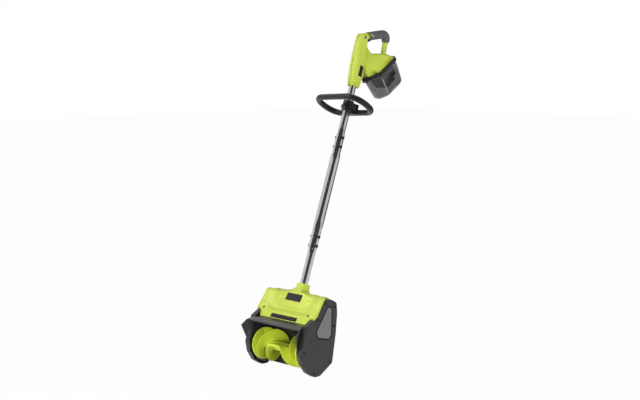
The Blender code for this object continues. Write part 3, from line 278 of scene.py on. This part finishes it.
# Finish of every node, by its name
TUBES = ("lower_tube", "middle_tube", "upper_tube")
JOINT_BOLTS = ("joint_bolt_1", "joint_bolt_2", "joint_bolt_3", "joint_bolt_4")
FINISH = {
    LIME: ["upper_cover", "handle_shell_right", "handle_shell_left"],
    AUGER_LIME_BRIGHTENED: ["auger"],
    DARK: ["side_plate_left", "side_plate_right", "cover_latch"],
    SHROUD: ["intake_shroud"],
    PALE: ["side_insert_left", "side_insert_right", "lock_off_button"],
    BLACK: ["loop_handle", "loop_clamp_front", "trigger", "battery_bay_rim", "battery_pack",
            "switch_block", "terminal_block", "motor_cradle", "auger_pulley", "power_lead"],
    RUBBER: ["grip_overmould"],
    TRACK: ["drive_belt"],
    SMOKE: ["battery_cover"],
    TUBE: TUBES,
    STEEL: ["auger_shaft", "auger_bearing_left", "auger_bearing_right", "scraper_bar", "motor",
            "motor_pulley"],
    BLACK_STEEL: [*JOINT_BOLTS, "clamp_bolt_left", "clamp_bolt_right", "cover_hinge_pin"],
    SCREW_BLACK: ["trigger_pin"],
}
FINISH_OF = {node: material for material, nodes in FINISH.items() for node in nodes}
for node, material in FINISH_OF.items():
    obj = frame["nodes"][node]
    obj.data.materials.clear()
    obj.data.materials.append(material)

# Pieces
SMOOTH_ANGLE = math.radians(35)
WELD = 0.000002
CORNER_STEPS = 4
# Where rays to a surface start: before the head, beside the shaft and off the battery cover
AHEAD = -0.3
ASIDE = 0.1
OFF_COVER = 0.1


def new_piece(name, bm, material, body, even=True):
    """A mesh piece that rides on a body, smooth apart from its sharp edges."""
    mesh = bpy.data.meshes.new(name)
    bmesh.ops.recalc_face_normals(bm, faces=bm.faces)
    bm.to_mesh(mesh)
    bm.free()
    mesh.materials.append(material)
    mesh.shade_smooth()
    mesh.set_sharp_from_angle(angle=SMOOTH_ANGLE)
    piece = bpy.data.objects.new(name, mesh)
    bpy.context.scene.collection.objects.link(piece)
    if even:
        piece.modifiers.new("even_normals", "WEIGHTED_NORMAL").keep_sharp = True
    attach(piece, body)
    return piece


def skin(bm, rows, loop=False):
    """Faces between rows of points in order; the ends are capped, or meet each other in a loop."""
    rows = [[bm.verts.new(point) for point in row] for row in rows]
    pairs = list(zip(rows, rows[1:]))
    if loop:
        pairs.append((rows[-1], rows[0]))
    for low, high in pairs:
        for i, vert in enumerate(low):
            j = (i + 1) % len(low)
            bm.faces.new((vert, low[j], high[j], high[i]))
    if not loop:
        bm.faces.new(rows[0][::-1])
        bm.faces.new(rows[-1])


def surface(node, start, direction):
    """First point of a node's surface from a start in a direction, and the normal there."""
    mesh = frame["nodes"][node].data
    tree = BVHTree.FromPolygons([v.co for v in mesh.vertices], [p.vertices for p in mesh.polygons])
    return tree.ray_cast(start, direction)[:2]


def seat(point, normal, up):
    """Axes on a surface: Z out of it, and Y as near as may be to up."""
    out = Vector(normal).normalized()
    across = Vector(up).cross(out).normalized()
    turn = Matrix((across, out.cross(across), out)).transposed()
    return Matrix.Translation(point) @ turn.to_4x4()


def rounded(corners, radius):
    """Outline of a convex polygon with round corners."""
    outline = []
    for i, corner in enumerate(corners):
        here = Vector(corner)
        back = (Vector(corners[i - 1]) - here).normalized()
        ahead = (Vector(corners[(i + 1) % len(corners)]) - here).normalized()
        half = back.angle(ahead) / 2
        reach = radius / math.tan(half)
        middle = here + (back + ahead).normalized() * radius / math.sin(half)
        start = here + back * reach - middle
        end = here + ahead * reach - middle
        for k in range(CORNER_STEPS + 1):
            outline.append(middle + start.lerp(end, k / CORNER_STEPS).normalized() * radius)
    return outline


def rectangle(u_low, u_high, v_low, v_high, radius):
    return rounded([(u_low, v_low), (u_high, v_low), (u_high, v_high), (u_low, v_high)], radius)


def moved_in(outline, distance):
    """A convex outline with every side moved in by a distance, or out where it is negative."""
    area = sum(a.cross(b) for a, b in zip(outline, outline[1:] + outline[:1]))
    side = 1 if area > 0 else -1
    result = []
    for i, here in enumerate(outline):
        run_in = (here - outline[i - 1]).normalized()
        run_out = (outline[(i + 1) % len(outline)] - here).normalized()
        normal_in = Vector((-run_in.y, run_in.x)) * side
        normal_out = Vector((-run_out.y, run_out.x)) * side
        bisector = (normal_in + normal_out).normalized()
        result.append(here + bisector * distance / bisector.dot(normal_in))
    return result


def on(place, outline, height):
    return [place @ Vector((point.x, point.y, height)) for point in outline]


# Flats pressed into the tubes across their joints, on the front right and on the back left
FLAT_TURN = math.radians(40)
FLAT_OUT = ACROSS * math.sin(FLAT_TURN) - SHAFT_Y * math.cos(FLAT_TURN)
FLAT_DEPTH = 0.0022
FLAT_RUN = 0.020
FLAT_STEP = 0.004
RING_STEP = 0.012
# A flat's start and end along the shaft, each measured from a bolt
FLAT_ENDS = (
    (("joint_bolt_1", -0.034), ("joint_bolt_2", 0.062)),
    (("joint_bolt_3", -0.050), ("joint_bolt_4", 0.042)),
)


def along_shaft(node):
    low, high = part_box(node)
    return ((low + high) / 2 - SHAFT).dot(SHAFT_Z)


def ring_cuts(bm, start, end, step):
    """Edges round a tube at even steps, from a start to an end along the shaft."""
    steps = round((end - start) / step)
    for i in range(steps + 1):
        ring = SHAFT + SHAFT_Z * (start + (end - start) * i / steps)
        bmesh.ops.bisect_plane(bm, geom=[*bm.verts, *bm.edges, *bm.faces],
                               plane_co=ring, plane_no=SHAFT_Z)


def press_flats(bm):
    lengths = [(vert.co - SHAFT).dot(SHAFT_Z) for vert in bm.verts]
    ring_cuts(bm, min(lengths), max(lengths), RING_STEP)
    for ends in FLAT_ENDS:
        start, end = (along_shaft(bolt) + reach for bolt, reach in ends)
        ring_cuts(bm, start, end, FLAT_STEP)
        for vert in bm.verts:
            place = vert.co - SHAFT
            s = place.dot(SHAFT_Z)
            depth = FLAT_DEPTH * min(1.0, (s - start) / FLAT_RUN, (end - s) / FLAT_RUN)
            out = place.dot(FLAT_OUT)
            spare = abs(out) - ((place - SHAFT_Z * s).length - depth)
            if depth > 0 and spare > 0:
                vert.co -= FLAT_OUT * math.copysign(spare, out)


# Skins: the nodes' own shapes, with their facets welded and their curves smooth
DRESSED = ("upper_cover", "auger", "intake_shroud", "handle_shell_right", "handle_shell_left",
           "side_plate_left", "side_plate_right", "battery_bay_rim", "battery_cover",
           "battery_pack", "grip_overmould", "loop_handle", "loop_clamp_front", *TUBES,
           "trigger", "lock_off_button", *JOINT_BOLTS, "clamp_bolt_left", "clamp_bolt_right",
           "cover_latch")
for node in DRESSED:
    bm = bmesh.new()
    bm.from_mesh(frame["nodes"][node].data)
    bmesh.ops.remove_doubles(bm, verts=bm.verts, dist=WELD)
    is_tube = node in TUBES
    if is_tube:
        press_flats(bm)
    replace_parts(new_piece(node + "_skin", bm, FINISH_OF[node], BODY_OF[node],
                          even=not is_tube), node)

# Screws: low heads with a six-lobed socket
SCREW_STEPS = 24
SCREW_LOBES = 6
SCREW_RADIUS = 0.0041
COVER_SCREW_RADIUS = 0.0046
# Reach and height as shares of the radius, and the lobes' depth as a share of the reach
SCREW_PROFILE = [(1.0, -0.12, 0.0), (1.0, 0.05, 0.0), (0.92, 0.14, 0.0), (0.62, 0.17, 0.0),
                 (0.50, 0.15, 0.12), (0.44, -0.06, 0.12)]


def screw(bm, place, radius=SCREW_RADIUS):
    rows = []
    for share, height, lobe in SCREW_PROFILE:
        row = []
        for i in range(SCREW_STEPS):
            angle = 2 * math.pi * i / SCREW_STEPS
            reach = radius * share * (1 + lobe * math.cos(SCREW_LOBES * angle))
            row.append(place @ Vector((reach * math.cos(angle), reach * math.sin(angle),
                                       radius * height)))
        rows.append(row)
    skin(bm, rows)


# Side plates: edge screws, and a black ring round each insert that paints the shade of its groove, at places in mm
# on the plate
PLATE_SCREWS = [(49, 239), (89, 224), (11, 188), (87, 160), (-51, 90), (66, 41), (-8, 13)]
INSERT = [(57, 229), (77, 222), (74.5, 129), (61, 117), (11, 128), (3, 150)]
INSERT_CORNER = 0.006
# Black ring of painted groove shade round each insert
SHADE_RING_OUT = 0.0018
SHADE_RING_IN = 0.0028
SHADE_RING_PROUD = 0.0004
SHADE_RING_SINK = 0.0008
SHADE_RING_ROUND = 0.0006
for side, name in SIDES:
    bm = bmesh.new()
    for y, z in PLATE_SCREWS:
        screw(bm, seat(head_point(side * HALF_HEAD, y * MM, z * MM), ACROSS * side, UP))
    new_piece("plate_screws_" + name, bm, SCREW_BLACK, "frame")
    place = seat(head_point(side * HALF_HEAD, 0, 0), ACROSS * side, UP)
    outline = rounded([(side * y * MM, z * MM) for y, z in INSERT], INSERT_CORNER)
    outer = moved_in(outline, -SHADE_RING_OUT)
    inner = moved_in(outline, SHADE_RING_IN)
    bm = bmesh.new()
    skin(bm, [on(place, outer, -SHADE_RING_SINK), on(place, outer, 0.0),
              on(place, moved_in(outer, SHADE_RING_ROUND), SHADE_RING_PROUD),
              on(place, moved_in(inner, -SHADE_RING_ROUND), SHADE_RING_PROUD),
              on(place, inner, 0.0), on(place, inner, -SHADE_RING_SINK)], loop=True)
    new_piece("insert_shade_ring_" + name, bm, GROOVE_SHADE_RING, "frame")

# Cover: two screws in the front of the ribs
COVER_SCREW = (0.109, 0.2022)


def cover_front(x, z):
    """Point and normal of the upper cover, seen from straight ahead."""
    return surface("upper_cover", head_point(x, AHEAD, z), BACK)


bm = bmesh.new()
for side in (-1, 1):
    screw(bm, seat(*cover_front(side * COVER_SCREW[0], COVER_SCREW[1]), UP), COVER_SCREW_RADIUS)
new_piece("cover_screws", bm, SCREW_BLACK, "frame")

# Bare plates: a long one on the cover's front face, a badge on its boss and one on each side of
# the spine; corners in mm
TRIM_SINK = 0.0003
TRIM_BEVEL = 0.0003
PLATE_PROUD = 0.0006
PLATE_CORNER = 0.001
FRONT_PLATE = [(-65.5, -7.2), (61.5, -7.2), (65.5, 7.2), (-61.5, 7.2)]
FRONT_PLATE_AT = (-0.0045, 0.1808)
BADGE = [(-36.6, -12.2), (34.0, -12.2), (36.3, 12.2), (-33.7, 12.2)]
BADGE_AT = (0.005, 0.2448)
BADGE_PROUD = 0.0033
BADGE_CORNER = 0.0015
SPINE_PLATE = [(-9.3, 20.2), (8.3, 17.5), (9.1, -19.6), (-8.1, -18.2)]
SPINE_PLATE_AT = (0.005, 0.7608)


def raised(bm, place, outline, proud):
    """A low block with a bevelled top, sunk a little into what it sits on."""
    skin(bm, [on(place, outline, -TRIM_SINK), on(place, outline, proud - TRIM_BEVEL),
              on(place, moved_in(outline, TRIM_BEVEL), proud)])


def bare_plate(name, place, corners, radius, proud):
    bm = bmesh.new()
    raised(bm, place, rounded([(u * MM, v * MM) for u, v in corners], radius), proud)
    new_piece(name, bm, CHARCOAL, "frame")


def shaft_side(node, side, y, s):
    """Point and normal of a node's right or left side, at a place along the shaft."""
    return surface(node, shaft_point(side * ASIDE, y, s), ACROSS * -side)


bare_plate("front_plate", seat(*cover_front(*FRONT_PLATE_AT), UP), FRONT_PLATE, PLATE_CORNER,
           PLATE_PROUD)
bare_plate("boss_badge", seat(*cover_front(*BADGE_AT), UP), BADGE, BADGE_CORNER, BADGE_PROUD)
for side, name in SIDES:
    place = seat(*shaft_side("handle_shell_" + name, side, *SPINE_PLATE_AT), SHAFT_Z)
    bare_plate("spine_plate_" + name, place, [(side * y, s) for y, s in SPINE_PLATE],
               PLATE_CORNER, PLATE_PROUD)

# Lime slash on each side of the grip's front end: two edges in mm, and the share of them it covers
SLASH_EDGES = (((8.1, 903.0), (33.1, 895.4)), ((3.2, 901.0), (28.1, 893.7)))
SLASH_START = 0.25
SLASH_LENGTH = 0.72
SLASH_STEPS = 12
SLASH_PROUD = 0.0004
SLASH_SINK = 0.0004
for side, name in SIDES:
    rows = []
    for i in range(SLASH_STEPS + 1):
        share = SLASH_START + SLASH_LENGTH * i / SLASH_STEPS
        row = []
        for start, end in SLASH_EDGES:
            y, s = Vector(start).lerp(Vector(end), share) * MM
            row.append(shaft_side("grip_overmould", side, y, s))
        if all(point for point, normal in row):
            (a, a_out), (b, b_out) = row
            rows.append([a + a_out * SLASH_PROUD, b + b_out * SLASH_PROUD,
                         b - b_out * SLASH_SINK, a - a_out * SLASH_SINK])
    bm = bmesh.new()
    skin(bm, rows)
    new_piece("grip_slash_" + name, bm, LIME, "frame")

# Screws that hold the handle's shells together, driven from the left; places in mm
SHELL_SCREWS = [(0, 722), (-13, 800), (-14, 858), (30, 822)]
bm = bmesh.new()
for y, s in SHELL_SCREWS:
    screw(bm, seat(*shaft_side("handle_shell_left", -1, y * MM, s * MM), SHAFT_Z))
new_piece("shell_screws", bm, SCREW_BLACK, "frame")

# Battery pack: a belt round it and a ribbed release on each side
PACK_HALF = 0.036
PACK_START = 0.009
PACK_LENGTH = 0.070
PACK_DEPTH = 0.046
PACK_CORNER = 0.008
BELT = (0.012, 0.022)
BELT_PROUD = 0.0012
BAY_AXES = Matrix.Translation(BAY) @ Matrix((ACROSS, BAY_ALONG, BAY_DEPTH)).transposed().to_4x4()
pack_outline = rectangle(-PACK_HALF, PACK_HALF, PACK_START, PACK_START + PACK_LENGTH, PACK_CORNER)
sunk = moved_in(pack_outline, TRIM_SINK)
proud = moved_in(pack_outline, -BELT_PROUD)
bm = bmesh.new()
skin(bm, [on(BAY_AXES, sunk, BELT[0] - BELT_PROUD), on(BAY_AXES, proud, BELT[0]),
          on(BAY_AXES, proud, BELT[1]), on(BAY_AXES, sunk, BELT[1] + BELT_PROUD)], loop=True)
new_piece("pack_belt", bm, PALE, "frame")

RELEASE_HALF = 0.014
RELEASE_DEPTH = (0.025, 0.040)
RELEASE_RIBS = 4
RIB_PROUD = 0.0016
RIB_SHARE = 0.55
RIB_CORNER_SHARE = 0.6
pack_middle = PACK_START + PACK_LENGTH / 2
pitch = (RELEASE_DEPTH[1] - RELEASE_DEPTH[0]) / RELEASE_RIBS
rib_half = pitch * RIB_SHARE / 2
rib = rectangle(-RELEASE_HALF, RELEASE_HALF, -rib_half, rib_half, rib_half * RIB_CORNER_SHARE)
bm = bmesh.new()
for side in (-1, 1):
    for i in range(RELEASE_RIBS):
        depth = RELEASE_DEPTH[0] + pitch * (i + 0.5)
        place = seat(bay_point(side * PACK_HALF, depth, pack_middle), ACROSS * side, BAY_DEPTH)
        raised(bm, place, rib, RIB_PROUD)
new_piece("pack_release", bm, DARK, "frame")

# Cell housing of the pack, narrower than its base
HOUSING_HALF = 0.030
HOUSING_ALONG = (0.013, 0.069)
HOUSING_DEPTH = 0.062
HOUSING_CORNER = 0.009
HOUSING_ROUND = 0.004
HOUSING_SHOULDER = HOUSING_ROUND * 0.3
housing = rectangle(-HOUSING_HALF, HOUSING_HALF, *HOUSING_ALONG, HOUSING_CORNER)
bm = bmesh.new()
skin(bm, [on(BAY_AXES, housing, PACK_DEPTH - TRIM_SINK),
          on(BAY_AXES, housing, HOUSING_DEPTH - HOUSING_ROUND),
          on(BAY_AXES, moved_in(housing, HOUSING_SHOULDER), HOUSING_DEPTH - HOUSING_SHOULDER),
          on(BAY_AXES, moved_in(housing, HOUSING_ROUND), HOUSING_DEPTH)])
new_piece("pack_housing", bm, BLACK, "frame")

# Battery cover: a pale bead down each of its corners, a painted highlight for the shine on its rounded edges
BEAD_RADIUS = 0.0012
BEAD_END_SHARE = 0.4
BEAD_STEPS = 8
BEAD_ROWS = 12
BEAD_START = 0.008
BEAD_PITCH = 0.006
# Half width and place along the bay at each corner, and how far it faces along the bay
COVER_CORNERS = [(0.038, 0.004, -0.40), (0.036, 0.092, 0.80)]
for side, name in SIDES:
    bm = bmesh.new()
    for x, along, slant in COVER_CORNERS:
        out = (ACROSS * side + BAY_ALONG * slant).normalized()
        rows = []
        for i in range(BEAD_ROWS):
            aim = bay_point(side * x, BEAD_START + BEAD_PITCH * i, along)
            point, normal = surface("battery_cover", aim + out * OFF_COVER, -out)
            level = BAY_DEPTH.cross(normal).normalized()
            reach = BEAD_RADIUS * (BEAD_END_SHARE if i in (0, BEAD_ROWS - 1) else 1.0)
            rows.append([point + (level * math.cos(turn) + normal * math.sin(turn)) * reach
                         for turn in (2 * math.pi * k / BEAD_STEPS for k in range(BEAD_STEPS))])
        skin(bm, rows)
    new_piece("cover_highlight_beads_" + name, bm, EDGE_HIGHLIGHT, "battery_cover")

# Studio: a pale floor and white surroundings, and three lamps: a key at the front left, a fill at
# the right and a low one before the head
FLOOR_HALF = 15.0
FLOOR_COLOUR = (0.86, 0.86, 0.86, 1.0)
FLOOR_ROUGHNESS = 0.9
FLOOR_WHITENESS = 0.97
CARD_COLOUR = (0.10, 0.10, 0.10, 1.0)
CARD_ROUGHNESS = 1.0
WHITE = (1.0, 1.0, 1.0, 1.0)
AMBIENT = 0.36
MIDDLE = head_point(0, 0.2, 0.55)
# Name, place, target, width in metres and power in watts
LAMPS = (
    ("key_light", MIDDLE + Vector((-1.4, -2.3, 1.9)), MIDDLE, 2.0, 38.0),
    ("fill_light", MIDDLE + Vector((2.6, 0.4, 1.2)), MIDDLE, 1.6, 33.0),
    ("low_light", head_point(0.9, -1.8, 0.16), head_point(0, 0, 0.08), 0.9, 36.0),
)


def seen_directly(tree):
    """1 for rays from the camera and for what metal and clear plastic show."""
    path = tree.nodes.new("ShaderNodeLightPath")
    total = path.outputs["Is Camera Ray"]
    for name in ("Is Glossy Ray", "Is Transmission Ray"):
        most = tree.nodes.new("ShaderNodeMath")
        most.operation = "MAXIMUM"
        tree.links.new(total, most.inputs[0])
        tree.links.new(path.outputs[name], most.inputs[1])
        total = most.outputs[0]
    return total


def matte_material(name, colour, roughness):
    material = bpy.data.materials.new(name)
    material.use_nodes = True
    shader = material.node_tree.nodes["Principled BSDF"]
    shader.inputs["Base Color"].default_value = colour
    shader.inputs["Roughness"].default_value = roughness
    return material


def floor_material():
    """Matte, so that it takes the shadow, and almost white where it is seen directly."""
    material = matte_material("studio_floor", FLOOR_COLOUR, FLOOR_ROUGHNESS)
    tree = material.node_tree
    matte = tree.nodes["Principled BSDF"]
    glow = tree.nodes.new("ShaderNodeEmission")
    share = tree.nodes.new("ShaderNodeMath")
    share.operation = "MULTIPLY"
    share.inputs[1].default_value = FLOOR_WHITENESS
    tree.links.new(seen_directly(tree), share.inputs[0])
    mix = tree.nodes.new("ShaderNodeMixShader")
    tree.links.new(share.outputs[0], mix.inputs["Fac"])
    tree.links.new(matte.outputs["BSDF"], mix.inputs[1])
    tree.links.new(glow.outputs["Emission"], mix.inputs[2])
    tree.links.new(mix.outputs["Shader"], tree.nodes["Material Output"].inputs["Surface"])
    return material


def plane(name, corners, material):
    mesh = bpy.data.meshes.new(name)
    mesh.from_pydata(corners, [], [tuple(range(len(corners)))])
    mesh.materials.append(material)
    obj = bpy.data.objects.new(name, mesh)
    bpy.context.scene.collection.objects.link(obj)
    return obj


def world_light():
    """White where it is seen directly, and a low even light on everything."""
    world = bpy.data.worlds.new("studio")
    bpy.context.scene.world = world
    world.use_nodes = True
    tree = world.node_tree
    background = tree.nodes["Background"]
    background.inputs["Color"].default_value = WHITE
    strength = tree.nodes.new("ShaderNodeMapRange")
    strength.inputs["To Min"].default_value = AMBIENT
    strength.inputs["To Max"].default_value = 1.0
    tree.links.new(seen_directly(tree), strength.inputs["Value"])
    tree.links.new(strength.outputs["Result"], background.inputs["Strength"])


def softbox(name, place, target, size, power):
    lamp = bpy.data.lights.new(name, "AREA")
    lamp.shape = "DISK"
    lamp.size = size
    lamp.energy = power
    obj = bpy.data.objects.new(name, lamp)
    obj.location = place
    obj.rotation_euler = (target - place).to_track_quat("-Z", "Y").to_euler()
    bpy.context.scene.collection.objects.link(obj)
    return obj


plane("floor", [(-FLOOR_HALF, -FLOOR_HALF, HEAD.z), (FLOOR_HALF, -FLOOR_HALF, HEAD.z),
                (FLOOR_HALF, FLOOR_HALF, HEAD.z), (-FLOOR_HALF, FLOOR_HALF, HEAD.z)],
      floor_material())
world_light()
key, fill, low = (softbox(*lamp) for lamp in LAMPS)
for lamp in (fill, low):
    lamp.visible_glossy = False

# The key lamp leaves the tubes out
unlit = bpy.data.collections.new("key_light_spares")
for node in TUBES:
    unlit.objects.link(bpy.data.objects[node + "_skin"])
for spared in unlit.collection_objects:
    spared.light_linking.link_state = "EXCLUDE"
key.light_linking.receiver_collection = unlit

# Camera at the photograph's viewing angle
CAMERA_PLACE = head_point(3.16886, -2.90421, 1.06672)
CAMERA_TURN = math.radians(46)
CAMERA_TILT = math.radians(83.5)
SENSOR_WIDTH = 36.0
FOCAL_LENGTH = 73.125
camera_data = bpy.data.cameras.new("camera")
camera_data.sensor_width = SENSOR_WIDTH
camera_data.lens = FOCAL_LENGTH
camera = bpy.data.objects.new("camera", camera_data)
camera.location = CAMERA_PLACE
camera.rotation_euler = (CAMERA_TILT, 0, CAMERA_TURN)
bpy.context.scene.collection.objects.link(camera)
bpy.context.scene.camera = camera
bpy.context.scene.view_settings.view_transform = "Standard"

# Dark cards that only gloss shows, on the camera's side of the studio and at its back right:
# name, turn from the camera's side in degrees, distance, and reach across and in height
CARDS = (
    ("dark_card", 0, 3.0, (-2.7, 2.0), (0.05, 6.0)),
    ("edge_card", 135, 1.8, (-1.3, 1.3), (0.02, 4.0)),
)
CARDS_CENTRE = head_point(0, 0.2, 0)
card_material = matte_material("studio_card", CARD_COLOUR, CARD_ROUGHNESS)
for name, turn, distance, (left_end, right_end), (bottom, top) in CARDS:
    angle = CAMERA_TURN + math.radians(turn)
    out = Vector((math.sin(angle), -math.cos(angle), 0))
    right = Vector((math.cos(angle), math.sin(angle), 0))
    foot = CARDS_CENTRE + out * distance
    corners = ((left_end, bottom), (right_end, bottom), (right_end, top), (left_end, top))
    card = plane(name, [foot + right * u + UP * v for u, v in corners], card_material)
    card.visible_camera = False
    card.visible_diffuse = False
    card.visible_shadow = False
    card.visible_transmission = False
